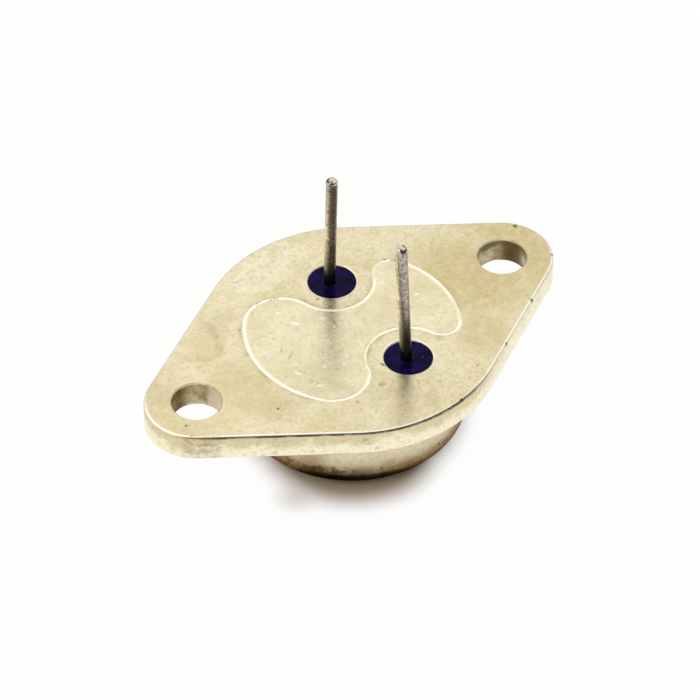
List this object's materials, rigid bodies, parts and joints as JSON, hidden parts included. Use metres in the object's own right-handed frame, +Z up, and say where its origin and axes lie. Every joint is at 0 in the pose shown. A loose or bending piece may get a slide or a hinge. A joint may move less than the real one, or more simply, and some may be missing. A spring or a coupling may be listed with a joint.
{
  "type": "power transistor",
  "caption": "Metal-can power transistor with a diamond-shaped steel flange, a copper heat spreader let into it, screw holes at its ends and round leads in glass seals.",
  "frame": {"origin": "middle of the can's flat top, which the part rests on, halfway between the screw holes", "axes": "+Z up along the leads, +X along the line of the screw holes towards the hole that the leads stand nearer to"},
  "size_m": [0.0386, 0.0244, 0.0207],
  "materials": {
    "plated_steel": "satin nickel plating over steel",
    "plated_copper": "satin nickel plating over copper",
    "braze": "bright plated braze",
    "seal_glass": "glossy near-black blue",
    "lead_metal": "dull nickel-iron, drawn",
    "plated_can": "satin nickel plating over drawn steel",
    "silicon": "polished silicon",
    "solder": "dull solder",
    "resin": "cured resin",
    "clip_metal": "plated copper strip"
  },
  "bodies": {
    "root": {"header_flange": "plated_steel", "heat_spreader": "plated_copper", "spreader_braze": "braze", "emitter_seal": "seal_glass", "base_seal": "seal_glass", "emitter_lead": "lead_metal", "base_lead": "lead_metal", "can": "plated_can", "die": "silicon", "die_solder": "solder", "die_edge_coating": "resin", "emitter_clip": "clip_metal", "base_clip": "clip_metal", "emitter_foot_solder": "solder", "base_foot_solder": "solder", "emitter_lead_solder": "solder", "base_lead_solder": "solder"}
  },
  "joints": []
}
